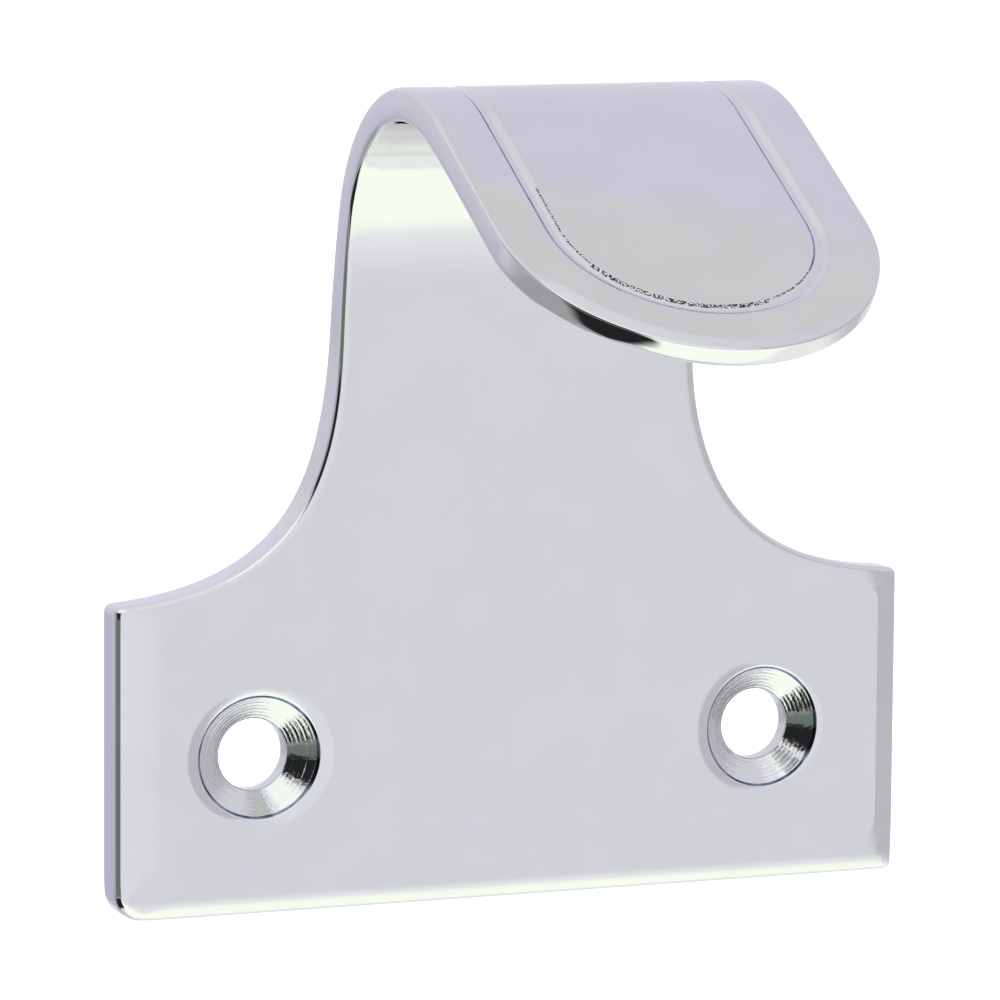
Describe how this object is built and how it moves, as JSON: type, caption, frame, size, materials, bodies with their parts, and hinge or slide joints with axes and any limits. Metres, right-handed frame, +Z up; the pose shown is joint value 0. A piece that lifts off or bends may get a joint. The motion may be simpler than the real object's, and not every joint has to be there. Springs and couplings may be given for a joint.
{
  "type": "sash lift handle",
  "caption": "Hook sash lift: a screwed back plate whose neck bends forward over the top and slopes down to a rounded finger tongue.",
  "frame": {"origin": "on the flat mounting face, midway between the two screw holes", "axes": "+X across the sash to the right as seen by the user, +Y out of the mounting face into the sash, +Z up"},
  "size_m": [0.06, 0.0432, 0.0589],
  "materials": {
    "polished_chrome": "mirror-polished chrome plating; the metal underneath can't be seen"
  },
  "bodies": {
    "root": {"lift_casting": "polished_chrome"}
  },
  "joints": []
}
